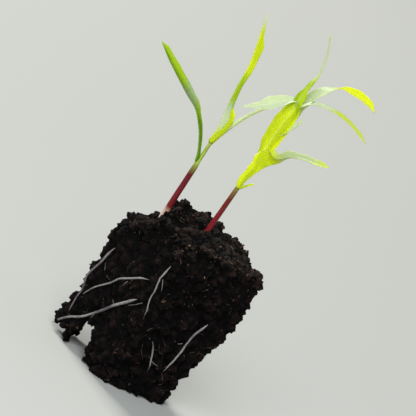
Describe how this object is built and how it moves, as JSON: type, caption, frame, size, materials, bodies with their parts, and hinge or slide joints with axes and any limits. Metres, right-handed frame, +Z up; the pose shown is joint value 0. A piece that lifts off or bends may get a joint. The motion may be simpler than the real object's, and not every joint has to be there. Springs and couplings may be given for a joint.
{
  "type": "maize plant plug",
  "caption": "Young maize plants, red-stemmed with arching strap leaves, growing together from a tapered square root ball of dark compost.",
  "frame": {"origin": "centre of the root ball's flat underside", "axes": "+Z up along the stems, X and Y square to the root ball's sides"},
  "size_m": [0.0526, 0.0869, 0.1626],
  "materials": {
    "compost": "matte",
    "stem": "satin",
    "leaf": "satin"
  },
  "bodies": {
    "root": {"root_ball": "compost", "left_stem": "stem", "right_stem": "stem", "left_rolled_leaf": "leaf", "left_upright_leaf": "leaf", "left_narrow_leaf": "leaf", "left_first_leaf": "leaf", "right_rolled_leaf": "leaf", "right_drooping_leaf": "leaf", "right_arching_leaf": "leaf", "right_lower_arching_leaf": "leaf", "right_small_leaf": "leaf", "right_first_leaf": "leaf", "right_seed_sheath": "leaf"}
  },
  "joints": []
}
